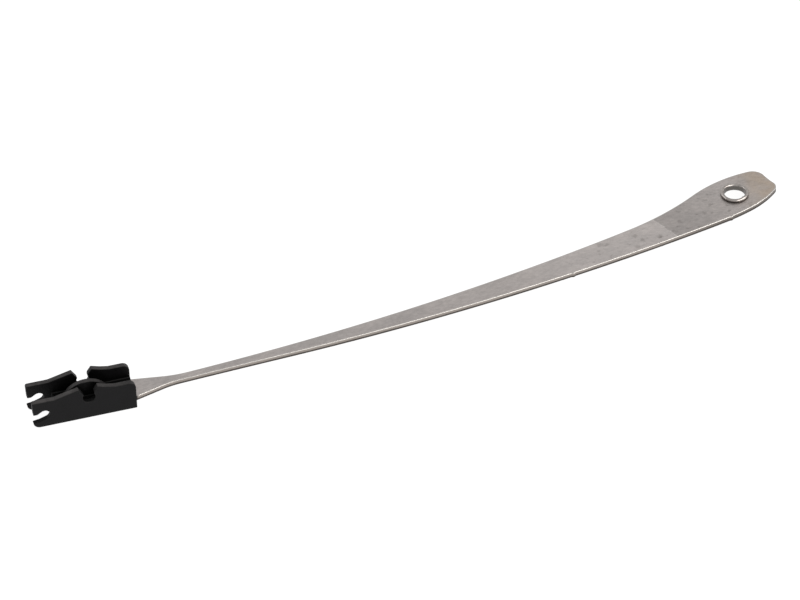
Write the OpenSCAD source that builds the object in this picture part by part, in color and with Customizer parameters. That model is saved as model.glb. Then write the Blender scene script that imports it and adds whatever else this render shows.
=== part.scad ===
// Long steel pick-and-pull tool: a flat sheet handle that sweeps to one side and ends in a
// hanging paddle, with a moulded twin-cheek hook head on its working end.
// X runs along the head towards the handle, Y across it, and Z up from the head's flat base.

/* [Head] */
// Length of the moulded head
head_l = 38.6; // [34:0.1:50]
// Width over both cheeks
head_w = 12; // [11:0.1:16]
// Thickness of each cheek
cheek_t = 2; // [1.5:0.1:2.6]
// Height of the cheeks at the handle end
rear_h = 12.2; // [11:0.1:12.6]
// Height of the cheeks at the front end
front_h = 11.7; // [10:0.1:12]
// Height of the lips beside the keyhole
lip_h = 13.9; // [13:0.1:15]
// Height of the socket block between the cheeks
block_h = 6.3; // [5.5:0.1:7]
// Where the socket block starts behind the front of the head
block_x = 9.5; // [8.5:0.1:11]

/* [Rod seats] */
// Diameter of the snap seat at the front
notch_d = 4; // [3:0.1:4.4]
// Diameter of the round bottom of the keyhole
key_d = 4.6; // [4:0.1:5]
// Width of the keyhole's neck
neck_w = 4.1; // [3:0.1:4.4]
// Width of the keyhole between its lips
key_mouth_w = 6.5; // [5:0.1:8]

/* [Centre rib] */
// Thickness of the domed rib between the cheeks
rib_t = 2; // [1:0.1:2.6]
// Radius of the rib's domed top
rib_r = 9.4; // [9:0.1:10.5]

/* [Handle] */
// Thickness of the steel sheet
sheet_t = 2; // [1.5:0.1:2.5]
// Height of the sheet's underside above the head's base
sheet_z = 2.45; // [1.5:0.05:3]
// Length of the long curved stretch, along the near edge
sweep_run = 177.8; // [120:0.1:220]
// Angle through which that stretch sweeps
sweep_turn = 10.2; // [6:0.1:12]
// Width of the tang inside the head
tang_w = 6.4; // [5:0.1:7]
// Distance that the tang reaches into the head
tang_l = 25; // [18:0.5:27]
// Diameter of the tang's lock holes
lock_d = 3; // [2:0.1:3.6]

/* [Hanging eyelet] */
// Diameter of the hole through the eyelet
eye_d = 8.1; // [6:0.1:8.6]
// Thickness of the rolled rim that stands on the sheet
roll_d = 1.3; // [0.8:0.1:1.4]
// Depth of the flare that clinches the eyelet into the sheet's underside
flare_t = 0.85; // [0.4:0.05:1.1]

/* [Hidden] */
$fn = 96;
eps = 0.01;

// Side profile of a cheek, in X and Z
notch_c = [4.4, 5.4];
key_c = [21.1, 9.6];
nose_r = 2.6;
rear_corner_r = 2.6;
front_corner_r = 0.8;
prong_tip = [0.2, 6.1];
ramp_tip = [0.1, 2.3];
front_bend_x = 8.5;
rear_slope_x = 31;

// Handle outline: the near edge leaves the tang's shoulder on this heading
shoulder_y = -4.86;
shoulder_heading = 15.2;
// Eyelet's place on the paddle, and its outer radius through the sheet
eye_c = [283.4, 39.1];
barrel_r = eye_d / 2 + 0.5;
// Largest turn, in degrees, that one straight facet of the outline takes
facet_turn = 1.5;

// Each run is [length, turn]. They follow the outline once round, from the near shoulder.
handle_runs = [
    [10.9, 0.9],                 // near side of the tapered root
    [7.2, -12.8],                // blend into the narrow neck
    [41.5, -0.5],                // straight part of the neck
    [sweep_run, sweep_turn],     // long near edge
    [14, 7.8],                   // under the paddle
    [14.3, 21],                  // rise to the tip
    [4.5, 74.9],                 // near corner of the tip
    [5.6, -12.4],                // end edge, slightly hollow
    [6.9, 78.1],                 // far corner of the tip
    [25.9, 27.7],                // crown of the paddle
    [32.1, -15.7],               // hollow that leads back to the neck
    [sweep_run + 3.4, -10.7],    // long far edge
    [9.6, -12.9]                 // far side of the tapered root
];

function arc(c, r, from, to, steps = 12) =
    [for (i = [0:steps]) let (a = from + (to - from) * i / steps) c + r * [cos(a), sin(a)]];

// The point a fraction f along a run that starts at p on heading h
function along(p, h, run, f) =
    run[1] == 0
        ? p + run[0] * f * [cos(h), sin(h)]
        : let (r = run[0] / (run[1] * PI / 180), a = h + run[1] * f)
            p + r * [sin(a) - sin(h), cos(h) - cos(a)];

// Tangent runs laid end to end from p, and at last a straight line back to the plane of the shoulder
function trace(runs, p, h, i = 0) =
    i == len(runs)
        ? [p + (head_l - p[0]) * [1, tan(h)]]
        : let (
            n = max(1, ceil(abs(runs[i][1]) / facet_turn)),
            pts = [for (j = [1:n]) along(p, h, runs[i], j / n)]
        )
        concat(pts, trace(runs, pts[n - 1], h + runs[i][1], i + 1));

shoulder = [head_l, shoulder_y];
handle_outline = concat([shoulder], trace(handle_runs, shoulder, shoulder_heading));

// The origin is below the middle of the whole tool, on the plane of the head's base
length_x = max([for (p = handle_outline) p[0]]);
side_y = max([for (p = handle_outline) p[1]]);
origin = [length_x / 2, (side_y - head_w / 2) / 2, 0];

front_lip = [key_c[0] - key_mouth_w / 2 - 0.3, lip_h];
rear_lip = [key_c[0] + key_mouth_w / 2, lip_h];

cheek_outline = concat(
    [[head_l, 0]],
    arc([head_l - rear_corner_r, rear_h - rear_corner_r], rear_corner_r, 0, 90),
    [
        [rear_slope_x, rear_h],
        rear_lip,
        front_lip,
        [front_bend_x, front_h]
    ],
    arc([front_corner_r, front_h - front_corner_r], front_corner_r, 90, 180),
    [prong_tip, ramp_tip],
    arc([nose_r, nose_r], nose_r, 200, 270)
);

// The snap seat opens forwards between a hooked upper prong and a ramp on the lower one
notch_mouth = [
    [-1, prong_tip[1] + 0.3],
    prong_tip,
    notch_c + [-2.65, 0.65],
    notch_c + notch_d / 2 * [cos(125), sin(125)],
    notch_c,
    notch_c + notch_d / 2 * [cos(-75), sin(-75)],
    ramp_tip + [2.4, 0.35],
    ramp_tip,
    ramp_tip - [1, 0]
];

// The keyhole's neck and the funnel above it, which is deeper on its front side
key_throat = [
    key_c,
    key_c + [-neck_w / 2, 1],
    front_lip,
    front_lip + [0, 1],
    rear_lip + [0, 1],
    rear_lip,
    key_c + [neck_w / 2, 2.2],
    key_c + [neck_w / 2, 0]
];

// Stands an X-Z profile upright, thick in Y and centred on y
module upright(thick, y = 0)
    translate([0, y + thick / 2, 0])
        rotate([90, 0, 0])
            linear_extrude(thick)
                children();

module cheek_profile()
    difference() {
        polygon(cheek_outline);
        translate(notch_c)
            circle(d = notch_d);
        polygon(notch_mouth);
        translate(key_c)
            circle(d = key_d);
        polygon(key_throat);
    }

// A dome that stands on the socket block, centred on the keyhole
module rib_profile()
    intersection() {
        translate(key_c - [0, 6.3])
            circle(r = rib_r);
        translate([block_x, block_h / 2])
            square([head_l, lip_h]);
    }

module tang()
    translate([head_l - tang_l, 0, sheet_z])
        difference() {
            translate([0, -tang_w / 2, 0])
                cube([tang_l, tang_w, sheet_t]);
            for (x = [0.3, 0.75])
                translate([tang_l * x, 0, -eps])
                    cylinder(d = lock_d, h = sheet_t + 2 * eps);
        }

module hook_head()
    color([0.13, 0.13, 0.14])
        translate(-origin)
            difference() {
                union() {
                    for (side = [-1, 1])
                        upright(cheek_t, side * (head_w - cheek_t) / 2)
                            cheek_profile();
                    upright(head_w - cheek_t)
                        translate([block_x, 0])
                            square([head_l - block_x, block_h]);
                    upright(rib_t)
                        rib_profile();
                }
                tang();
            }

module handle_blade()
    color([0.62, 0.6, 0.57])
        translate(-origin)
            difference() {
                union() {
                    translate([0, 0, sheet_z])
                        linear_extrude(sheet_t)
                            polygon(handle_outline);
                    tang();
                }
                translate([eye_c[0], eye_c[1], sheet_z])
                    eyelet_seat();
            }

// The barrel's hole through the sheet, with the countersink for its flare
module eyelet_seat() {
    translate([0, 0, -eps])
        cylinder(r = barrel_r, h = sheet_t + 2 * eps);
    translate([0, 0, -eps])
        cylinder(r1 = barrel_r + flare_t + eps, r2 = barrel_r, h = flare_t + eps);
}

// The eyelet's section: a flared foot, a straight barrel and a rolled rim above the sheet
module eyelet_section() {
    roll_r = roll_d / 2;
    polygon([
        [eye_d / 2 + flare_t, 0],
        [barrel_r + flare_t, 0],
        [barrel_r, flare_t],
        [barrel_r, sheet_t + roll_r],
        [eye_d / 2, sheet_t + roll_r],
        [eye_d / 2, flare_t]
    ]);
    translate([eye_d / 2 + roll_r, sheet_t + roll_r])
        circle(r = roll_r);
}

module hanging_eyelet()
    color([0.72, 0.71, 0.69])
        translate([eye_c[0], eye_c[1], sheet_z] - origin)
            rotate_extrude()
                eyelet_section();

hook_head();
handle_blade();
hanging_eyelet();
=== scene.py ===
"""Looks of a long steel pick-and-pull tool with a moulded twin-cheek hook head.

Shapes are worked out in millimetres in the head's own frame: x runs from the front of the head
towards the handle, y across the head from its middle, and z up from its flat base. They are placed
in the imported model's frame, in metres, only when a mesh is made.
"""

from __future__ import annotations

import logging
import math
from dataclasses import dataclass, field
from enum import Enum
from typing import Sequence

import bpy
import numpy as np
from mathutils import Matrix, Vector, geometry


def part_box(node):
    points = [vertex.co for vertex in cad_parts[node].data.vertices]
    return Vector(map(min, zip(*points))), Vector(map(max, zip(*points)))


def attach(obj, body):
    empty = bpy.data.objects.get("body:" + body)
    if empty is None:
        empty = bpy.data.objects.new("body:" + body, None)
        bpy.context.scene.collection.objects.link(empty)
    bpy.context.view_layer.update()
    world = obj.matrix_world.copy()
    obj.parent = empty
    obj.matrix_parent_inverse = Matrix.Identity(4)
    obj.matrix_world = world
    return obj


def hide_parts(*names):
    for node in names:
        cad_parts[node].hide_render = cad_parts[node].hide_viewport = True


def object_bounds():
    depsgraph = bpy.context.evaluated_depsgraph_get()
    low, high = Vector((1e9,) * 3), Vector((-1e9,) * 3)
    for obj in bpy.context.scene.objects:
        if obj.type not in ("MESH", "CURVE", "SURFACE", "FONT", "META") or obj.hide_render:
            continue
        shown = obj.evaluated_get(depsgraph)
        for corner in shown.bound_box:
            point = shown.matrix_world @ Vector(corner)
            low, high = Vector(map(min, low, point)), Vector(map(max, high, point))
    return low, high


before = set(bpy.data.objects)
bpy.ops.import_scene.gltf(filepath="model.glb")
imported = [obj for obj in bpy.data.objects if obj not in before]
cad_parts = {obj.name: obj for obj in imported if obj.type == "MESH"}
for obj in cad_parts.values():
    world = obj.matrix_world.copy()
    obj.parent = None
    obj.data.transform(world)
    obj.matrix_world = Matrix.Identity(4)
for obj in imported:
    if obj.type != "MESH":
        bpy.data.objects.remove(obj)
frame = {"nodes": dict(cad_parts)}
cad_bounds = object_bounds()

LOG = logging.getLogger("hooked_tool")
MM = 0.001
BODY = "root"
Array = np.ndarray
Point = tuple[float, float]
Span = tuple[float, float]
Colour = tuple[float, float, float]


# Shader expressions


class Wire:
    """A shader socket, or a number, that Python's operators turn into Math nodes."""

    def __init__(self, graph: "Graph", source: bpy.types.NodeSocket | float) -> None:
        """Holds one output socket or one number of a graph."""
        self.graph = graph
        self.source = source

    def math(self, operation: str, *others: "Wire | float") -> "Wire":
        """Adds a Math node.

        Args:
            operation: the Math node's operation.
            others: its second and third inputs, where it has them.

        Returns:
            The node's result.
        """
        inputs = {i: value for i, value in enumerate((self, *others))}
        return self.graph.node("ShaderNodeMath", {"operation": operation}, inputs)

    def __add__(self, other: "Wire | float") -> "Wire":
        """Sum."""
        return self.math("ADD", other)

    def __sub__(self, other: "Wire | float") -> "Wire":
        """Difference."""
        return self.math("SUBTRACT", other)

    def __mul__(self, other: "Wire | float") -> "Wire":
        """Product."""
        return self.math("MULTIPLY", other)

    def __truediv__(self, other: "Wire | float") -> "Wire":
        """Quotient."""
        return self.math("DIVIDE", other)

    def __rsub__(self, other: float) -> "Wire":
        """Difference from a number."""
        return Wire(self.graph, other).math("SUBTRACT", self)

    __radd__ = __add__
    __rmul__ = __mul__

    def clamp(self) -> "Wire":
        """The value held between 0 and 1."""
        return self.math("MINIMUM", 1.0).math("MAXIMUM", 0.0)

    def step(self, low: float, high: float) -> "Wire":
        """A smooth step: 0 below low and 1 above high, or the other way round if low is larger."""
        settings = {"interpolation_type": "SMOOTHSTEP"}
        flip = low > high
        inputs = {"Value": self, "From Min": min(low, high), "From Max": max(low, high)}
        inputs.update({"To Min": float(flip), "To Max": float(not flip)})
        return self.graph.node("ShaderNodeMapRange", settings, inputs)


class Graph:
    """The node tree of one material, with a Principled shader at its end."""

    def __init__(self, name: str) -> None:
        """Makes an empty material of that name."""
        self.material = bpy.data.materials.new(name)
        self.material.use_nodes = True
        self.tree = self.material.node_tree
        self.tree.nodes.clear()
        self.shader = self.tree.nodes.new("ShaderNodeBsdfPrincipled")
        output = self.tree.nodes.new("ShaderNodeOutputMaterial")
        self.tree.links.new(self.shader.outputs[0], output.inputs[0])

    def node(
        self,
        kind: str,
        settings: dict[str, object],
        inputs: dict[str | int, object],
        output: str | int = 0,
    ) -> Wire:
        """Adds any node.

        Args:
            kind: the node's type.
            settings: its properties, set first.
            inputs: values or wires for its sockets, by name or index.
            output: the output wanted, by name or index.

        Returns:
            That output.
        """
        node = self.tree.nodes.new(kind)
        for key, value in settings.items():
            setattr(node, key, value)
        for key, value in inputs.items():
            self.feed(node.inputs[key], value)
        return Wire(self, node.outputs[output])

    def feed(self, socket: bpy.types.NodeSocket, value: object) -> None:
        """Links a wire to a socket, or sets the socket to a number, colour or vector."""
        if isinstance(value, Wire) and not isinstance(value.source, float):
            self.tree.links.new(value.source, socket)
            return
        if isinstance(value, Wire):
            value = value.source
        if isinstance(value, tuple) and len(value) == 3 and socket.type == "RGBA":
            value = (*value, 1.0)
        socket.default_value = value

    def finish(self, **sockets: object) -> bpy.types.Material:
        """Sets the shader's sockets, an underscore for each space, and returns the material."""
        for name, value in sockets.items():
            self.feed(self.shader.inputs[name.replace("_", " ")], value)
        return self.material

    def place(self, scale: Sequence[float]) -> Wire:
        """Object coordinates in metres, stretched by scale."""
        spot = self.node("ShaderNodeTexCoord", {}, {}, "Object")
        return self.node("ShaderNodeMapping", {}, {"Vector": spot, "Scale": scale})

    def noise(
        self, size_mm: float, detail: float = 3.0, stretch: Sequence[float] = (1, 1, 1)
    ) -> Wire:
        """Noise from 0 to 1 with features of about size_mm, stretched along each axis."""
        scale = tuple(1.0 / s for s in stretch)
        inputs = {"Vector": self.place(scale), "Scale": 1 / (size_mm * MM), "Detail": detail}
        return self.node("ShaderNodeTexNoise", {}, inputs)

    def axis(self, index: int) -> Wire:
        """One Object coordinate, in millimetres."""
        spot = self.node("ShaderNodeTexCoord", {}, {}, "Object")
        return self.node("ShaderNodeSeparateXYZ", {}, {0: spot}, index) / MM

    def rise(self, low_mm: float, high_mm: float) -> Wire:
        """Height as a share of the way from one level to another."""
        return (self.axis(2) - low_mm) / (high_mm - low_mm)

    def attribute(self, name: str) -> Wire:
        """A number that the mesh holds at each point."""
        return self.node("ShaderNodeAttribute", {"attribute_name": name}, {}, "Fac")

    def blend(self, mask: Wire, first: Wire | Colour, second: Wire | Colour) -> Wire:
        """A colour that goes from the first to the second as mask goes from 0 to 1."""
        inputs = {0: mask, 6: first, 7: second}
        return self.node("ShaderNodeMix", {"data_type": "RGBA"}, inputs, 2)

    def scaled(self, colour: Wire, factor: Wire) -> Wire:
        """A colour made darker or lighter by a factor."""
        inputs = {0: colour, "Scale": factor}
        return self.node("ShaderNodeVectorMath", {"operation": "SCALE"}, inputs)

    def distance(self, centre: Point) -> Wire:
        """Distance in millimetres from an upright line at centre."""
        dx, dy = self.axis(0) - centre[0], self.axis(1) - centre[1]
        return (dx * dx + dy * dy).math("SQRT")

    def bump(self, height: Wire, depth_mm: float) -> Wire:
        """A normal pushed by a height that runs from 0 to 1 and stands for depth_mm."""
        inputs = {"Height": height, "Distance": depth_mm * MM}
        return self.node("ShaderNodeBump", {}, inputs, "Normal")


# Finishes


@dataclass(frozen=True)
class MouldedPlastic:
    """Black glass-filled plastic: fine spark-eroded grain, rubbed edges, painted light on upward
    faces and painted shade in recesses.
    """

    # painted shade: the near-black colour given to recesses, where little light reaches
    recess_shade: Colour = (0.0008, 0.0008, 0.0008)
    face: Colour = (0.0044, 0.0042, 0.0046)
    # colour of worn edges, and also of the painted light on upward faces
    rubbed: Colour = (0.050, 0.047, 0.0465)
    roughness: float = 0.5
    gloss: float = 0.12
    grain_mm: float = 0.22
    grain_depth_mm: float = 0.06
    recess: Span = (0.35, 0.9)

    def make(self) -> bpy.types.Material:
        """Builds the material from the mesh's edge_wear, openness and top_rub attributes, the last
        two for painted shade in recesses and painted light on upward faces.
        """
        graph = Graph("moulded_black_plastic")
        grain = graph.noise(self.grain_mm, 4.0)
        cloud = graph.noise(5.0, 3.0)
        patchy = graph.noise(1.1, 3.0)
        exposed = graph.attribute("openness").step(*self.recess)
        edge = (graph.attribute("edge_wear") * 1.3 + patchy * 0.7 - 0.75).clamp() * exposed
        # painted light: open, upward faces lightened, broken up by patchy noise
        rim = graph.attribute("top_rub") * (patchy * 0.6 + cloud * 0.5 + 0.15)
        wear_and_top_light = (edge * 0.6 + rim * 1.05).clamp()
        # painted shade: points with little open room round them go towards the recess colour
        colour = graph.blend(exposed, self.recess_shade, self.face)
        colour = graph.blend(wear_and_top_light, colour, self.rubbed)
        colour = graph.scaled(colour, (grain - 0.5) * 0.7 + (cloud - 0.5) * 0.9 + 1.0)
        rough = (grain - 0.5) * 0.24 + (cloud - 0.5) * 0.14 - wear_and_top_light * 0.08 + self.roughness
        return graph.finish(
            Base_Color=colour,
            Roughness=rough,
            Normal=graph.bump(grain * 0.6 + graph.noise(0.9) * 0.4, self.grain_depth_mm),
            Specular_IOR_Level=self.gloss,
        )


@dataclass(frozen=True)
class Stain:
    """A dull handling mark on the sheet."""

    centre: Point
    radius: float
    strength: float


@dataclass(frozen=True)
class SheetSteel:
    """Tumbled stainless sheet with a fine cloudy grain, handling stains, warm heat tint and a
    painted glint along the dressed line.
    """

    cool: Colour = (0.452, 0.42, 0.405)
    warm: Colour = (0.515, 0.475, 0.455)
    stained: Colour = (0.27, 0.248, 0.235)
    tinted: Colour = (0.505, 0.425, 0.355)
    # colour of the painted glint along the dressed line
    painted_glint: Colour = (0.75, 0.73, 0.70)
    roughness: float = 0.4
    grain_depth_mm: float = 0.008
    dressed_fade: Span = (34.0, 6.0)
    handled_zone: Span = (105.0, 66.0)
    polished_zone: Span = (118.0, 80.0)
    tint_zone: Span = (18.0, 4.0)

    def back_from(self, x: Wire, tip_x: float, zone: Span) -> Wire:
        """A smooth step along x between two distances back from the tip."""
        return x.step(tip_x - zone[0], tip_x - zone[1])

    def make(
        self, dressed_from: Point, dressed_to: Point, tip_x: float, stains: Sequence[Stain]
    ) -> bpy.types.Material:
        """Builds the material.

        Args:
            dressed_from: one end, in millimetres, of the line where the paddle was dressed again.
            dressed_to: the line's other end.
            tip_x: the tip's place along x, in millimetres, where the heat tint is strongest.
            stains: the handling marks.

        Returns:
            The material.
        """
        graph = Graph("tumbled_sheet_steel")
        x, y = graph.axis(0), graph.axis(1)
        along = np.subtract(dressed_to, dressed_from)
        ahead = np.array([-along[1], along[0]]) / np.hypot(*along)
        past = (x - dressed_from[0]) * float(ahead[0]) + (y - dressed_from[1]) * float(ahead[1])
        past = past + (graph.noise(1.6) - 0.5) * 1.1
        dressed = past.step(-0.25, 0.25) * past.step(*self.dressed_fade)
        # painted highlight: a thin, broken bright line along the dressed boundary
        line = past.step(-0.45, 0.0) * past.step(0.45, 0.0) * graph.noise(1.2).step(0.44, 0.6)
        fine = graph.noise(0.32, 4.0, (1.6, 1.0, 1.0))
        pitted = graph.noise(0.8, 3.0, (2.2, 1.0, 1.0))
        cloud = graph.noise(8.0, 3.0, (1.8, 1.0, 1.0))
        handled = self.back_from(x, tip_x, self.handled_zone)
        specks = graph.noise(2.1, 2.0, (1.5, 1.0, 1.0)).step(0.6, 0.7) * (handled * 0.7 + 0.12)
        patchy = graph.noise(5.0).step(0.3, 0.6) * 0.5 + 0.5
        tint = self.back_from(x, tip_x, self.tint_zone) * patchy
        ragged = (graph.noise(1.3, 3.0) - 0.5) * 2.4
        polished = self.back_from(x, tip_x, self.polished_zone) * past.step(0.25, -0.25)
        marks: Wire = specks * 0.6
        for stain in stains:
            reach = graph.distance(stain.centre) + ragged
            marks = marks + reach.step(stain.radius, stain.radius * 0.3) * stain.strength
        colour = graph.blend(cloud.step(0.3, 0.7), self.cool, self.warm)
        colour = graph.blend((dressed * 0.22 + marks).clamp(), colour, self.stained)
        colour = graph.blend(tint * 0.95, colour, self.tinted)
        colour = graph.blend(line * 0.35, colour, self.painted_glint)
        shade = (fine - 0.5) * 0.42 + (pitted - 0.5) * 0.5 + polished * 0.17 + 1.0
        rough = (fine - 0.5) * 0.14 + (cloud - 0.5) * 0.1 + dressed * 0.04 + marks * 0.08
        return graph.finish(
            Base_Color=graph.scaled(colour, shade),
            Metallic=1.0,
            Roughness=rough + self.roughness,
            Normal=graph.bump(fine * 0.55 + pitted * 0.45, self.grain_depth_mm),
        )


@dataclass(frozen=True)
class ShearedEdge:
    """The sheet's edge: a bright rubbed shoulder, then a sheared band, then a dark torn one."""

    rubbed: Colour = (0.52, 0.495, 0.47)
    sheared: Colour = (0.315, 0.28, 0.255)
    torn: Colour = (0.07, 0.061, 0.055)
    torn_band: Span = (0.26, 0.54)
    rubbed_band: Span = (0.78, 0.92)
    darker_zone: Span = (60.0, 20.0)

    def make(self, low_mm: float, high_mm: float, tip_x: float) -> bpy.types.Material:
        """Builds the material.

        Args:
            low_mm: height of the edge's foot.
            high_mm: height of its top.
            tip_x: the tip's place along x, in millimetres. The sheared band is darker near it.

        Returns:
            The material.
        """
        graph = Graph("sheared_sheet_edge")
        ripple = graph.noise(0.9, 2.0, (4.0, 4.0, 1.0)) - 0.5
        height = graph.rise(low_mm, high_mm) + ripple * 0.16
        # the sheared band is made darker towards the tip
        far, near = self.darker_zone
        tip_darkening = graph.axis(0).step(tip_x - far, tip_x - near) * 0.55
        clean = height.step(*self.torn_band) * (1.0 - tip_darkening)
        colour = graph.blend(clean, self.torn, self.sheared)
        colour = graph.blend(height.step(*self.rubbed_band), colour, self.rubbed)
        streak = graph.noise(0.3, 3.0, (1.0, 1.0, 7.0))
        return graph.finish(
            Base_Color=colour,
            Metallic=1.0,
            Roughness=height.step(0.9, 0.3) * 0.2 + (streak - 0.5) * 0.12 + 0.3,
            Normal=graph.bump(streak, 0.012),
        )


@dataclass(frozen=True)
class RolledEyelet:
    """Turned steel eyelet: a rim rubbed bright, fine lathe rings, and painted shade on the walls
    below the rim.
    """

    bright: Colour = (0.50, 0.465, 0.44)
    dull: Colour = (0.36, 0.33, 0.31)
    # painted shade: colour of the bore and walls below the rim
    wall_shade: Colour = (0.13, 0.12, 0.112)
    roughness: float = 0.36

    def make(self, centre: Point, low_mm: float, high_mm: float) -> bpy.types.Material:
        """Builds the material.

        Args:
            centre: where the eyelet's upright axis stands, in millimetres.
            low_mm: height below which the walls are all in painted shade.
            high_mm: height of the rim's crown.

        Returns:
            The material.
        """
        graph = Graph("rolled_eyelet_steel")
        smear = graph.noise(1.8, 2.0)
        spread = graph.distance(centre) + graph.axis(2)
        lathe = {"noise_dimensions": "1D"}
        rings = graph.node("ShaderNodeTexNoise", lathe, {"W": spread, "Scale": 9.0, "Detail": 2.0})
        height = graph.rise(low_mm, high_mm) + (smear - 0.5) * 0.25
        rim = height.step(0.35, 0.8)
        colour = graph.blend(smear.step(0.35, 0.7), self.dull, self.bright)
        # painted shade: below the rim the walls go towards the dark wall colour
        colour = graph.blend(rim, self.wall_shade, colour)
        return graph.finish(
            Base_Color=colour,
            Metallic=1.0,
            Roughness=(smear - 0.5) * 0.16 + (rings - 0.5) * 0.1 - rim * 0.06 + self.roughness,
            Normal=graph.bump(rings * 0.6 + graph.noise(0.5) * 0.4, 0.004),
        )


# Placing and making meshes


@dataclass(frozen=True)
class HeadFrame:
    """Where the head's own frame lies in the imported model: its front, middle and base."""

    origin: Vector

    @classmethod
    def from_node(cls, node: str) -> "HeadFrame":
        """Reads it from the box of the head's CAD node."""
        low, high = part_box(node)
        return cls(Vector((low[0], (low[1] + high[1]) / 2, low[2])))

    def place(self, points_mm: Array) -> Array:
        """Millimetres in the head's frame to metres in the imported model's frame."""
        return points_mm * MM + np.array(self.origin)

    def spot(self, place: Point) -> Point:
        """A place in the head's frame as a place in the model's, both in millimetres."""
        return (place[0] + self.origin[0] / MM, place[1] + self.origin[1] / MM)

    def height(self, level: float) -> float:
        """A height in the head's frame as a height in the model's, both in millimetres."""
        return level + self.origin[2] / MM


@dataclass(frozen=True)
class Sheet:
    """Sizes that the head, the strip and the eyelet share, in millimetres."""

    head_length: float = 38.6
    low: float = 2.45
    thick: float = 2.0
    tang_length: float = 25.0
    tang_width: float = 6.4
    lock_radius: float = 1.5
    lock_places: tuple[float, ...] = (0.3, 0.75)
    eye: Point = (283.4, 39.1)
    eye_radius: float = 4.55
    flare: float = 0.85

    @property
    def top(self) -> float:
        """Height of the strip's upper face."""
        return self.low + self.thick

    @property
    def tang_start(self) -> float:
        """Where along x the tang starts, inside the head."""
        return self.head_length - self.tang_length

    @property
    def locks(self) -> list[Point]:
        """Centres of the tang's lock holes."""
        return [(self.tang_start + self.tang_length * share, 0.0) for share in self.lock_places]


def mesh_object(
    name: str, points: Array, faces: Array | Sequence[Sequence[int]], smooth: bool = True
) -> bpy.types.Object:
    """Makes an object at the origin from points in metres and faces that index them."""
    mesh = bpy.data.meshes.new(name)
    mesh.from_pydata(points, [], faces)
    mesh.polygons.foreach_set("use_smooth", np.full(len(mesh.polygons), smooth))
    mesh.validate()
    obj = bpy.data.objects.new(name, mesh)
    bpy.context.scene.collection.objects.link(obj)
    return obj


def ring_quads(rings: int, around: int, closed_rings: bool = False, flip: bool = False) -> Array:
    """Quads between neighbouring rings of points, each ring closed on itself.

    Args:
        rings: how many rings there are.
        around: how many points each has.
        closed_rings: whether the last ring joins the first.
        flip: turns the faces over.

    Returns:
        An array of four indices a face.
    """
    i = np.arange(rings if closed_rings else rings - 1)[:, None]
    j = np.arange(around)[None, :]
    here, there = i % rings * around, (i + 1) % rings * around
    nxt = (j + 1) % around
    quads = np.stack([here + j, here + nxt, there + nxt, there + j], axis=-1).reshape(-1, 4)
    return quads[:, ::-1] if flip else quads


def arc(centre: Point, radius: float, start: float, end: float, steps: int = 14) -> Array:
    """Points on c + r (cos a, sin a) as a runs from start to end, in degrees."""
    angle = np.radians(np.linspace(start, end, steps + 1))
    return np.array(centre) + radius * np.stack([np.cos(angle), np.sin(angle)], axis=-1)


# Distance fields for the moulding


def polygon_distance(outline: Array, points: Array) -> Array:
    """Signed distance to a closed outline, negative inside.

    The distance is the least one to any side, |p - a - t (b - a)| with t held between 0 and 1. The
    sign comes from how often a ray along x crosses the outline.

    Args:
        outline: (n, 2) corners in order.
        points: (m, 2) places to measure.

    Returns:
        m distances.
    """
    start, end = outline, np.roll(outline, -1, axis=0)
    side = end - start
    gap = points[:, None, :] - start
    part = np.clip((gap * side).sum(-1) / np.maximum((side**2).sum(-1), 1e-12), 0, 1)
    nearest = np.sqrt(((gap - part[..., None] * side) ** 2).sum(-1).min(-1))
    py = points[:, 1:2]
    crosses = (start[:, 1] > py) != (end[:, 1] > py)
    rise = np.where(np.abs(side[:, 1]) < 1e-12, 1e-12, side[:, 1])
    x_cross = start[:, 0] + (py - start[:, 1]) / rise * side[:, 0]
    inside = (crosses & (points[:, :1] < x_cross)).sum(-1) % 2 == 1
    return np.where(inside, -nearest, nearest)


@dataclass
class ProfileMap:
    """An outline's distances held on a fine grid, so that many places are read quickly."""

    outline: Array
    pitch: float = 0.06
    margin: float = 1.5
    low: Array = field(init=False)
    held: Array = field(init=False)

    def __post_init__(self) -> None:
        """Measures the grid."""
        self.low = self.outline.min(axis=0) - self.margin
        high = self.outline.max(axis=0) + self.margin
        axes = [np.arange(a, b, self.pitch) for a, b in zip(self.low, high)]
        gx, gz = np.meshgrid(*axes, indexing="ij")
        rows = [polygon_distance(self.outline, np.stack(r, axis=-1)) for r in zip(gx, gz)]
        self.held = np.stack(rows)

    def at(self, x: Array, z: Array) -> Array:
        """Distances by bilinear interpolation. Beyond the grid, the way to its rim is added."""
        place = np.stack([(x - self.low[0]) / self.pitch, (z - self.low[1]) / self.pitch])
        last = np.array(self.held.shape).reshape(2, *[1] * np.ndim(x)) - 1.001
        kept = np.clip(place, 0, last)
        beyond = np.hypot(*(place - kept)) * self.pitch
        i, j = kept.astype(int)
        u, v = kept - (i, j)
        near = self.held[i, j] * (1 - v) + self.held[i, j + 1] * v
        far = self.held[i + 1, j] * (1 - v) + self.held[i + 1, j + 1] * v
        return near * (1 - u) + far * u + beyond


def slab(profile: Array, half_thickness: float, offset: Array, rounding: float) -> Array:
    """A profile given thickness, with its rims rounded.

    With a = profile + r and b = |offset| - half thickness + r, the distance is
    min(max(a, b), 0) + |(max(a, 0), max(b, 0))| - r.
    """
    a = profile + rounding
    b = np.abs(offset) - half_thickness + rounding
    return (
        np.minimum(np.maximum(a, b), 0)
        + np.hypot(np.maximum(a, 0), np.maximum(b, 0))
        - rounding
    )


def melt(first: Array, second: Array, width: float) -> Array:
    """The union of two solids with a fillet: min(a, b) - h h w / 4, h = max(w - |a - b|, 0) / w."""
    h = np.maximum(width - np.abs(first - second), 0) / width
    return np.minimum(first, second) - h * h * width / 4


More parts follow.
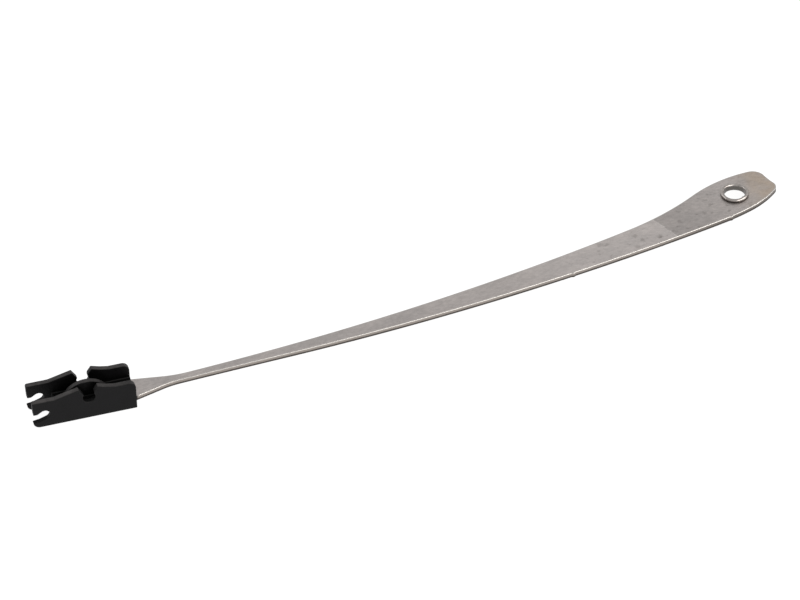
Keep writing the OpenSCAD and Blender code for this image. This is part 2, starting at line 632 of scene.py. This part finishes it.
def net_surface(values: Array, low: Array, pitch: float) -> tuple[Array, Array]:
    """The zero surface of a grid of distances, as one point in each cell that it passes through.

    Each point is the mean of the places where the surface crosses the cell's edges. Each grid edge
    that changes sign gives a quad of the four cells round it, turned to face outwards.

    Args:
        values: distances on a grid, negative inside.
        low: the grid's lowest corner.
        pitch: the grid's spacing.

    Returns:
        Points, and quads that index them.
    """
    inside = values < 0
    shape = np.array(values.shape)
    total = np.zeros((*(shape - 1), 3))
    count = np.zeros(shape - 1)
    corner_axes = np.eye(3, dtype=int)
    crossings = []
    for axis in range(3):
        near = [slice(None)] * 3
        away = [slice(None)] * 3
        near[axis], away[axis] = slice(0, -1), slice(1, None)
        a, b = values[tuple(near)], values[tuple(away)]
        changes = inside[tuple(near)] != inside[tuple(away)]
        crossings.append(changes)
        step = np.where(changes, a / np.where(changes, a - b, 1.0), 0.0)
        others = [k for k in range(3) if k != axis]
        for du in (0, 1):
            for dv in (0, 1):
                cut = [slice(None)] * 3
                cut[others[0]] = slice(du, shape[others[0]] - 1 + du)
                cut[others[1]] = slice(dv, shape[others[1]] - 1 + dv)
                hit = changes[tuple(cut)]
                count += hit
                total[..., axis] += np.where(hit, step[tuple(cut)], 0.0)
                total[..., others[0]] += hit * float(du)
                total[..., others[1]] += hit * float(dv)
    used = count > 0
    index = np.full(used.shape, -1)
    index[used] = np.arange(int(used.sum()))
    cells = np.argwhere(used)
    points = (cells + total[used] / count[used][:, None]) * pitch + low
    quads = []
    for axis, changes in enumerate(crossings):
        u, v = (axis + 1) % 3, (axis + 2) % 3
        edge = np.argwhere(changes)
        edge = edge[(edge[:, u] > 0) & (edge[:, v] > 0)]
        edge = edge[(edge[:, u] < shape[u] - 1) & (edge[:, v] < shape[v] - 1)]
        eu, ev = corner_axes[u], corner_axes[v]
        round_edge = [edge - eu - ev, edge - ev, edge, edge - eu]
        quad = np.stack([index[tuple(c.T)] for c in round_edge], axis=-1)
        outwards = inside[tuple(edge.T)]
        quads.append(np.where(outwards[:, None], quad, quad[:, ::-1]))
    return points, np.concatenate(quads)


# Sub-assemblies


@dataclass
class HookHead:
    """The moulded head: two cheeks with rod seats, a domed centre rib and the socket block."""

    frame: HeadFrame
    sheet: Sheet
    width: float = 12.0
    cheek: float = 2.0
    rear_height: float = 12.2
    front_height: float = 11.7
    lip_height: float = 13.9
    block_height: float = 6.3
    block_start: float = 9.5
    block_round: float = 0.1
    notch_centre: Point = (4.4, 5.4)
    notch_radius: float = 2.0
    notch_throat: Point = (-2.65, 0.65)
    key_centre: Point = (21.1, 9.6)
    key_radius: float = 2.3
    key_neck_rise: float = 2.2
    neck_width: float = 4.1
    mouth_width: float = 6.5
    mouth_lead: float = 0.3
    rib: float = 2.0
    rib_radius: float = 9.4
    rib_drop: float = 6.3
    rib_sunk: float = 2.0
    prong_tip: Point = (0.2, 6.1)
    ramp_tip: Point = (0.1, 2.3)
    ramp_slope: Point = (2.4, 0.35)
    front_bend_x: float = 8.5
    rear_slope_x: float = 31.0
    rear_bend: Point = (28.0, 0.65)
    corner_round: float = 2.6
    front_round: float = 0.8
    rear_lip_round: float = 0.4
    front_lip_round: float = 0.35
    tip_round: float = 0.3
    edge_round: float = 0.24
    fillet: float = 0.6
    pitch: float = 0.18
    wear_depth: float = 0.5
    room_heights: tuple[float, ...] = (1.0, 3.0, 6.0)
    lean_from: Point = (12.0, 1.3)
    lean_to: Point = (28.0, 0.68)
    profiles: dict[str, ProfileMap] = field(default_factory=dict)

    def cheek_outline(self) -> Array:
        """One cheek's side outline with both rod seats cut into it, anticlockwise in x and z."""
        kx, kz = self.key_centre
        nx, nz = self.notch_centre
        px, pz = self.prong_tip
        rx, rz = self.ramp_tip
        back, rear, front = self.sheet.head_length, self.rear_height, self.front_height
        corner, nose, tip = self.corner_round, self.front_round, self.tip_round
        rear_lip, front_lip = self.rear_lip_round, self.front_lip_round
        rear_x = kx + self.mouth_width / 2
        front_x = kx - self.mouth_width / 2 - self.mouth_lead
        half_neck = self.neck_width / 2
        neck_turn = math.degrees(math.asin(half_neck / self.key_radius)) - 30
        pieces = [
            arc((corner, corner), corner, 200, 270),
            [(back, 0.0)],
            arc((back - corner, rear - corner), corner, 0, 90),
            [(self.rear_slope_x, rear), (self.rear_bend[0], rear + self.rear_bend[1])],
            arc((rear_x + rear_lip, self.lip_height - rear_lip), rear_lip, 72, 180, 6),
            [(kx + half_neck, kz + self.key_neck_rise)],
            arc(self.key_centre, self.key_radius, neck_turn, -215, 30),
            arc((front_x - front_lip, self.lip_height - front_lip), front_lip, 0, 105, 6),
            [(self.front_bend_x, front)],
            arc((nose, front - nose), nose, 90, 180, 6),
            arc((px + tip, pz + 0.25), tip, 180, 262, 6),
            [(nx + self.notch_throat[0], nz + self.notch_throat[1])],
            arc(self.notch_centre, self.notch_radius, 125, -75, 30),
            [(rx + self.ramp_slope[0], rz + self.ramp_slope[1])],
            arc((rx + tip, rz - 0.27), tip, 80, 170, 6),
        ]
        return np.concatenate([np.asarray(piece, dtype=float) for piece in pieces])

    def rib_outline(self) -> Array:
        """The dome: an arc about a centre below the keyhole, closed under the block's top."""
        centre = (self.key_centre[0], self.key_centre[1] - self.rib_drop)
        rise = self.block_height - self.rib_sunk - centre[1]
        sunk = math.degrees(math.asin(rise / self.rib_radius))
        return arc(centre, self.rib_radius, sunk, 180 - sunk, 48)

    def block_outline(self) -> Array:
        """The socket block between the cheeks, as a rectangle in x and z."""
        start, back, top = self.block_start, self.sheet.head_length, self.block_height
        return np.array([(start, 0), (back, 0), (back, top), (start, top)])

    def distance(self, x: Array, y: Array, z: Array, profiles: dict[str, Array]) -> Array:
        """Signed distance to the moulding, from the profiles' distances at each x and z."""
        sheet = self.sheet
        side = np.abs(y) - (self.width - self.cheek) / 2
        solid = slab(profiles["cheek"], self.cheek / 2, side, self.edge_round)
        rib = slab(profiles["rib"], self.rib / 2, y, self.edge_round)
        block = slab(profiles["block"], self.width / 2 - self.cheek, y, self.block_round)
        solid = melt(solid, melt(rib, block, self.fillet), self.fillet)
        pocket = np.maximum(sheet.tang_start - x, np.abs(y) - sheet.tang_width / 2)
        pocket = np.maximum(pocket, np.maximum(sheet.low - z, z - sheet.top))
        for lock_x, lock_y in sheet.locks:
            plug = np.hypot(x - lock_x, y - lock_y) - sheet.lock_radius
            pocket = np.maximum(pocket, -plug)
        return np.maximum(np.maximum(solid, -pocket), -z)

    def profiles_at(self, x: Array, z: Array) -> dict[str, Array]:
        """Each outline's signed distance at the places (x, z)."""
        return {name: profile.at(x, z) for name, profile in self.profiles.items()}

    def at(self, points: Array) -> Array:
        """Signed distance to the moulding at any points."""
        x, y, z = points.T
        return self.distance(x, y, z, self.profiles_at(x, z))

    def slope(self, points: Array) -> Array:
        """The field's gradient by central differences, made one long."""
        reach = 0.02
        turns = [self.at(points + reach * e) - self.at(points - reach * e) for e in np.eye(3)]
        gradient = np.stack(turns, axis=-1)
        return gradient / np.maximum(np.linalg.norm(gradient, axis=-1, keepdims=True), 1e-9)

    def wear_and_shading(self, points: Array) -> dict[str, Array]:
        """How worn, how open and how lit by painted top light each point is, where 0 is not at all.

        A convex edge has less plastic under it than the depth looked at. An open spot has as much
        room over it as the height looked at, and a recess has less; the material paints shade into
        recesses. Painted top light needs both an open spot and one that faces up, and is painted
        stronger at the near cheek's front than at its rear.
        """
        normal, depth = self.slope(points), self.wear_depth
        buried = -self.at(points - normal * depth)
        rooms = [self.at(points + normal * height) / height for height in self.room_heights]
        room = np.clip(np.mean(rooms, axis=0), 0, 1)
        lean = np.interp(points[:, 0], *zip(self.lean_from, self.lean_to))
        lean = np.where(points[:, 1] < 0, lean, 1.0)
        upward = np.clip(normal[:, 2] * 1.6 - 0.5, 0, 1)
        return {
            "edge_wear": np.clip(1 - buried / depth, 0, 1),
            "openness": room,
            # painted top light: open, upward faces, stronger at the near cheek's front
            "top_rub": upward * np.clip(room * 4 - 3, 0, 1) * lean,
        }

    def surface(self) -> tuple[Array, Array]:
        """Works the moulding out.

        Returns:
            Points in millimetres, and quads that index them.
        """
        self.profiles = {
            "cheek": ProfileMap(self.cheek_outline()),
            "rib": ProfileMap(self.rib_outline()),
            "block": ProfileMap(self.block_outline()),
        }
        margin = 2 * self.pitch
        low = np.array([-margin, -self.width / 2 - margin, -margin])
        high = np.array([self.sheet.head_length, self.width / 2, self.lip_height]) + margin
        axes = [np.arange(a, b + self.pitch, self.pitch) for a, b in zip(low, high)]
        gx, gz = np.meshgrid(axes[0], axes[2], indexing="ij")
        profiles = {name: flat[:, None, :] for name, flat in self.profiles_at(gx, gz).items()}
        values = self.distance(
            axes[0][:, None, None], axes[1][None, :, None], axes[2][None, None, :], profiles
        )
        points, quads = net_surface(values, low, self.pitch)
        for _ in range(2):
            normal = self.slope(points)
            points = points - normal * self.at(points)[:, None]
        return points, quads

    def build(self) -> bpy.types.Object:
        """Makes the head's mesh, with its worn edges, openness and painted top light as attributes,
        and dresses it.
        """
        points, quads = self.surface()
        head = mesh_object("hook_head_moulding", self.frame.place(points), quads)
        for name, values in self.wear_and_shading(points).items():
            attribute = head.data.attributes.new(name, "FLOAT", "POINT")
            attribute.data.foreach_set("value", values.astype(np.float32))
        head.data.materials.append(MouldedPlastic().make())
        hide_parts("hook_head")
        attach(head, BODY)
        return head


@dataclass
class HandleBlade:
    """The flat strip handle: a tapered root, a sweeping neck and a wide paddle with a hole."""

    frame: HeadFrame
    sheet: Sheet
    shoulder_y: float = -4.86
    shoulder_heading: float = 15.2
    sweep_run: float = 177.8
    sweep_turn: float = 10.2
    top_round: float = 0.3
    under_round: float = 0.12
    face_margin: float = 0.12
    step: float = 0.4
    turn_step: float = 2.5
    corner_gap: float = 1.5
    hole_steps: int = 72
    nubs: tuple[Point, ...] = ((211.2, 13.6), (278.1, 27.1))
    nub_height: float = 0.34
    nub_spread: float = 0.55
    dressed_line: tuple[Point, Point] = ((249.6, 33.0), (253.8, 24.3))
    stains: tuple[Stain, ...] = (
        Stain((225.5, 26.0), 1.6, 0.45),
        Stain((239.5, 27.0), 1.5, 0.55),
        Stain((241.5, 24.0), 1.3, 0.6),
        Stain((248.5, 24.0), 1.6, 0.55),
        Stain((238.5, 20.5), 1.4, 0.5),
        Stain((258.5, 30.0), 1.3, 0.45),
        Stain((269.0, 32.0), 1.3, 0.4),
        Stain((278.5, 30.2), 0.9, 0.5),
        Stain((291.5, 45.0), 1.2, 0.6),
    )

    def runs(self) -> list[tuple[float, float]]:
        """(length, turn) of each tangent run round the outline, from the near shoulder."""
        return [
            (10.9, 0.9),  # near side of the tapered root
            (7.2, -12.8),  # blend into the narrow neck
            (41.5, -0.5),  # straight part of the neck
            (self.sweep_run, self.sweep_turn),  # long near edge
            (14, 7.8),  # under the paddle
            (14.3, 21),  # rise to the tip
            (4.5, 74.9),  # near corner of the tip
            (5.6, -12.4),  # end edge, slightly hollow
            (6.9, 78.1),  # far corner of the tip
            (25.9, 27.7),  # crown of the paddle
            (32.1, -15.7),  # hollow that leads back to the neck
            (self.sweep_run + 3.4, -10.7),  # long far edge
            (9.6, -12.9),  # far side of the tapered root
        ]

    def outline(self) -> Array:
        """The whole outline, tang included, anticlockwise in x and y.

        The runs' headings are joined into one heading h(s), and the outline is the integral of
        (cos h, sin h) over the length s, by the midpoint rule.
        """
        runs = np.array(self.runs())
        joints = np.concatenate([[0], np.cumsum(runs[:, 0])])
        heading = self.shoulder_heading + np.concatenate([[0], np.cumsum(runs[:, 1])])
        counts = np.ceil(np.maximum(runs[:, 0] / self.step, np.abs(runs[:, 1]) / self.turn_step))
        stops = [
            np.linspace(joints[i], joints[i + 1], int(n), endpoint=False)
            for i, n in enumerate(counts)
        ]
        s = np.concatenate([*stops, [joints[-1]]])
        middle = (s[1:] + s[:-1]) / 2
        angle = np.radians(np.interp(middle, joints, heading))
        moves = np.diff(s)[:, None] * np.stack([np.cos(angle), np.sin(angle)], axis=-1)
        back, inner, half = self.sheet.head_length, self.sheet.tang_start, self.sheet.tang_width / 2
        start = np.array([[back, self.shoulder_y]])
        line = np.concatenate([start, start + np.cumsum(moves, axis=0)])
        last = math.radians(heading[-1])
        home = (back - line[-1, 0]) * np.array([1, math.tan(last)])
        line = self.with_nubs(np.concatenate([line, [line[-1] + home]]))
        from_corners = np.linalg.norm(line[:, None] - line[[0, -1]], axis=-1).min(axis=1)
        clear = from_corners > self.corner_gap
        clear[[0, -1]] = True
        tang = [(back, half), (inner, half), (inner, -half), (back, -half)]
        return np.concatenate([line[clear], tang])

    def with_nubs(self, line: Array) -> Array:
        """The line pushed outwards by h exp(-(d / w)^2) at a distance d from each nub's centre."""
        ahead = np.gradient(line, axis=0)
        outwards = np.stack([ahead[:, 1], -ahead[:, 0]], axis=-1)
        outwards /= np.linalg.norm(outwards, axis=1, keepdims=True)
        gaps = np.linalg.norm(line[:, None, :] - np.array(self.nubs), axis=-1)
        push = self.nub_height * np.exp(-((gaps / self.nub_spread) ** 2)).sum(axis=-1)
        return line + outwards * push[:, None]

    def inset(self, line: Array, distance: float) -> Array:
        """The outline moved inwards by distance along each corner's mitre."""
        before = line - np.roll(line, 1, axis=0)
        after = np.roll(line, -1, axis=0) - line
        before /= np.linalg.norm(before, axis=1, keepdims=True)
        after /= np.linalg.norm(after, axis=1, keepdims=True)
        normal = np.stack([-(before + after)[:, 1], (before + after)[:, 0]], axis=-1)
        normal /= np.linalg.norm(normal, axis=1, keepdims=True)
        cosine = np.maximum((normal * np.stack([-after[:, 1], after[:, 0]], -1)).sum(-1), 0.5)
        return line + normal * (distance / cosine)[:, None]

    def edge_section(self) -> list[Point]:
        """(inset, height) down the edge: top ring, round shoulder, sheared wall, under rim."""
        low, top, margin = self.sheet.low, self.sheet.top, self.face_margin
        over, under = self.top_round, self.under_round
        shoulder = arc((over, top - over), over, 90, 180, 8)
        rim = arc((under, low + under), under, 180, 270, 4)
        first, last = (over + margin, top), (under + margin, low)
        return [first, *map(tuple, shoulder), *map(tuple, rim), last]

    def holes(self) -> list[tuple[Point, float, float]]:
        """Centre, radius and foot radius of the eyelet's hole and of the tang's lock holes."""
        sheet = self.sheet
        eye = (sheet.eye, sheet.eye_radius, sheet.eye_radius + sheet.flare)
        return [eye, *[(centre, sheet.lock_radius, sheet.lock_radius) for centre in sheet.locks]]

    def hole_wall(self, centre: Point, radius: float, foot: float) -> Array:
        """Rings of points down a hole: at its top, where it starts to widen, and at its foot."""
        sheet = self.sheet
        levels = [(radius, sheet.top), (radius, sheet.low + sheet.flare), (foot, sheet.low)]
        circle = arc((0, 0), 1.0, 0, 360, self.hole_steps)[:-1]
        return np.concatenate(
            [
                np.column_stack([np.array(centre) + circle * r, np.full(len(circle), z)])
                for r, z in levels
            ]
        )

    def build(self) -> bpy.types.Object:
        """Makes the strip: its edge section carried round the outline, and two pierced faces."""
        line, section = self.outline(), self.edge_section()
        around = len(line)
        rings = [
            np.column_stack([self.inset(line, inset), np.full(around, height)])
            for inset, height in section
        ]
        points = np.concatenate(rings)
        faces = ring_quads(len(section), around, flip=True).tolist()
        edge_faces = len(faces)
        loop = np.arange(around)
        top_loops, under_loops = [loop], [loop + (len(section) - 1) * around]
        for hole in self.holes():
            wall, first = self.hole_wall(*hole), len(points)
            levels = len(wall) // self.hole_steps
            points = np.concatenate([points, wall])
            faces.extend((ring_quads(levels, self.hole_steps) + first).tolist())
            loop = np.arange(self.hole_steps) + first
            top_loops.append(loop)
            under_loops.append(loop + (levels - 1) * self.hole_steps)
        faces.extend(self.cap(points, top_loops).tolist())
        faces.extend(self.cap(points, under_loops)[:, ::-1].tolist())
        blade = mesh_object("handle_strip", self.frame.place(points), faces)
        self.dress(blade, edge_faces, line)
        return blade

    def cap(self, points: Array, loops: list[Array]) -> Array:
        """Fills the outline's face round its holes with upward triangles.

        Args:
            points: every point of the strip.
            loops: indices of the outline's ring, then of each hole's ring.

        Returns:
            Triangles that index the points. One with all its corners on one hole is left out.
        """
        order = np.concatenate(loops)
        flat = [Vector(place) for place in points[order, :2].tolist()]
        starts = np.cumsum([0, *map(len, loops)])
        edges = [
            (first + k, first + (k + 1) % len(loop))
            for first, loop in zip(starts, loops)
            for k in range(len(loop))
        ]
        inside_outline = 1
        filled = geometry.delaunay_2d_cdt(flat, edges, [], inside_outline, 1e-7)
        source = np.array([sources[0] for sources in filled[3]])
        corners = source[np.array(filled[2])]
        loop_of = np.repeat(np.arange(len(loops)), [len(loop) for loop in loops])[corners]
        one_loop = (loop_of == loop_of[:, :1]).all(axis=1)
        return order[corners[~(one_loop & (loop_of[:, 0] > 0))]]

    def dress(self, blade: bpy.types.Object, edge_faces: int, line: Array) -> None:
        """Gives the faces and the edge their finishes, and joins the strip to the root body."""
        spot = self.frame.spot
        marks = [Stain(spot(mark.centre), mark.radius, mark.strength) for mark in self.stains]
        start, end = (spot(place) for place in self.dressed_line)
        tip_x = spot((float(line[:, 0].max()), 0.0))[0]
        low, top = self.frame.height(self.sheet.low), self.frame.height(self.sheet.top)
        blade.data.materials.append(SheetSteel().make(start, end, tip_x, marks))
        blade.data.materials.append(ShearedEdge().make(low, top, tip_x))
        order = np.arange(len(blade.data.polygons))
        blade.data.polygons.foreach_set("material_index", (order < edge_faces).astype(np.int32))
        blade.data.polygons.foreach_set("use_smooth", order < edge_faces)
        blade.data.update()
        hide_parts("handle_blade")
        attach(blade, BODY)


@dataclass
class HangingEyelet:
    """The rolled steel eyelet in the paddle's hole."""

    frame: HeadFrame
    sheet: Sheet
    radius: float = 4.05
    wall: float = 0.5
    roll: float = 0.65
    around: int = 144
    waviness: float = 0.03
    burr: float = 0.22
    burr_at: float = -62.0
    burr_spread: float = 5.0

    def section(self) -> Array:
        """(radius, height) round the section: up the bore, over the roll and down the barrel."""
        r, flare, low, top = self.radius, self.sheet.flare, self.sheet.low, self.sheet.top
        outer, waist = r + self.wall, low + flare
        roll_centre = (r + self.roll, top + self.roll)
        tuck = math.degrees(math.acos((outer - roll_centre[0]) / self.roll))
        return np.concatenate(
            [
                np.linspace((r + flare, low), (r, waist), 6),
                np.linspace((r, waist + 0.2), (r, roll_centre[1] - 0.1), 6),
                arc(roll_centre, self.roll, 180, -tuck, 40),
                np.linspace((outer, top), (outer, waist), 4),
                np.linspace((outer + 0.1, waist - 0.1), (outer + flare, low), 5),
            ]
        )

    def build(self) -> bpy.types.Object:
        """Turns the section round the eyelet's axis: (x, y) = c + r (cos a, sin a).

        The rolled rim is hand-set, so its r wavers by w (sin(3a + 1) + sin(7a) / 2), and a burr
        stands inwards from its inner side, as b exp(-((a - a0) / s)^2).
        """
        section, sheet = self.section(), self.sheet
        angle = np.linspace(0, 2 * math.pi, self.around, endpoint=False)
        ring = np.stack([np.cos(angle), np.sin(angle)], axis=-1)
        radius, height = section[:, :1], section[:, 1:]
        rise = np.clip((height - sheet.top) / self.roll, 0, 1)
        waver = self.waviness * (np.sin(3 * angle + 1) + np.sin(7 * angle) / 2)
        off = (np.degrees(angle) - self.burr_at + 180) % 360 - 180
        inner = radius < self.radius + self.roll
        burr = self.burr * np.exp(-((off / self.burr_spread) ** 2)) * inner
        wavy = radius + rise * (waver - burr)
        flat = np.array(sheet.eye) + wavy[..., None] * ring
        points = np.concatenate([flat, np.broadcast_to(height[..., None], (*wavy.shape, 1))], -1)
        points = points.reshape(-1, 3)
        quads = ring_quads(len(section), self.around, closed_rings=True, flip=True)
        eyelet = mesh_object("eyelet_rolled", self.frame.place(points), quads)
        sheet_top = self.frame.height(sheet.top)
        crown = sheet_top + 2 * self.roll
        finish = RolledEyelet().make(self.frame.spot(sheet.eye), sheet_top, crown)
        eyelet.data.materials.append(finish)
        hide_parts("hanging_eyelet")
        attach(eyelet, BODY)
        return eyelet


# Studio


class Softbox(Enum):
    """The studio's lamps: direction, width and height in metres, power in watts, colour."""

    STRIP = ((0.6, -0.48, 0.62), (1.3, 0.5), 9.0, (1.0, 0.975, 0.945))
    LEFT = ((-0.75, 0.5, 0.6), (0.5, 0.5), 1.5, (0.97, 0.98, 1.0))


@dataclass
class Studio:
    """Floor, lamps, surroundings and camera."""

    floor_half: float = 6.0
    floor_gap: float = 0.00005
    floor_shade: float = 0.16
    floor_glow: float = 0.92
    room_light: float = 0.72
    lamp_distance: float = 1.1
    azimuth: float = -15.47
    elevation: float = 40.42
    roll: float = -1.35
    distance: float = 1.8585
    lens: float = 225.0
    aim: tuple[float, float, float] = (-0.003667, 0.000763, 0.0)

    def lay_floor(self) -> None:
        """A plain lit floor just under the object."""
        half, low = self.floor_half, cad_bounds[0][2] - self.floor_gap
        corners = [(-half, -half), (half, -half), (half, half), (-half, half)]
        points = np.array([(x, y, low) for x, y in corners])
        floor = mesh_object("studio_floor", points, [(0, 1, 2, 3)], smooth=False)
        paper = Graph("lit_studio_paper").finish(
            Base_Color=(self.floor_shade,) * 3,
            Roughness=1.0,
            Specular_IOR_Level=0.0,
            Emission_Color=(1.0, 1.0, 1.0),
            Emission_Strength=self.floor_glow,
        )
        floor.data.materials.append(paper)

    def hang_lamps(self) -> None:
        """Soft lamps round the object, each turned to it."""
        for box in Softbox:
            direction, (width, height), power, colour = box.value
            data = bpy.data.lights.new(f"softbox_{box.name.lower()}", "AREA")
            data.shape, data.size, data.size_y = "RECTANGLE", width, height
            data.energy, data.color = power, colour
            lamp = bpy.data.objects.new(data.name, data)
            towards = Vector(direction).normalized()
            lamp.location = towards * self.lamp_distance
            lamp.rotation_euler = towards.to_track_quat("Z", "Y").to_euler()
            bpy.context.scene.collection.objects.link(lamp)

    def light_room(self) -> None:
        """An even pale room."""
        world = bpy.data.worlds.new("studio_room")
        world.use_nodes = True
        background = world.node_tree.nodes["Background"]
        background.inputs["Color"].default_value = (1.0, 1.0, 1.0, 1.0)
        background.inputs["Strength"].default_value = self.room_light
        bpy.context.scene.world = world

    def set_camera(self) -> None:
        """A long lens at the wanted azimuth and elevation, with a slight roll."""
        a, e, r = (math.radians(v) for v in (self.azimuth, self.elevation, self.roll))
        right = Vector((math.cos(a), math.sin(a), 0))
        ahead = Vector((-math.sin(a) * math.cos(e), math.cos(a) * math.cos(e), -math.sin(e)))
        up = right.cross(ahead)
        across = math.cos(r) * right + math.sin(r) * up
        upright = math.cos(r) * up - math.sin(r) * right
        data = bpy.data.cameras.new("camera")
        data.lens, data.sensor_width, data.clip_end = self.lens, 36.0, 50.0
        camera = bpy.data.objects.new("camera", data)
        turn = Matrix((across, upright, -ahead)).transposed().to_4x4()
        place = Vector(self.aim) - ahead * self.distance
        camera.matrix_world = Matrix.Translation(place) @ turn
        bpy.context.scene.collection.objects.link(camera)
        bpy.context.scene.camera = camera

    def build(self) -> None:
        """Sets the whole studio up."""
        self.lay_floor()
        self.hang_lamps()
        self.light_room()
        self.set_camera()
        bpy.context.scene.view_settings.view_transform = "Standard"


def main() -> None:
    """Builds the studio and the three pieces."""
    logging.basicConfig(level=logging.INFO, format="%(name)s: %(message)s")
    Studio().build()
    head_frame = HeadFrame.from_node("hook_head")
    sheet = Sheet()
    for kind in (HookHead, HandleBlade, HangingEyelet):
        piece = kind(head_frame, sheet).build()
        LOG.info("%s: %d faces", piece.name, len(piece.data.polygons))
    bpy.context.view_layer.update()


if __name__ == "__main__":
    main()
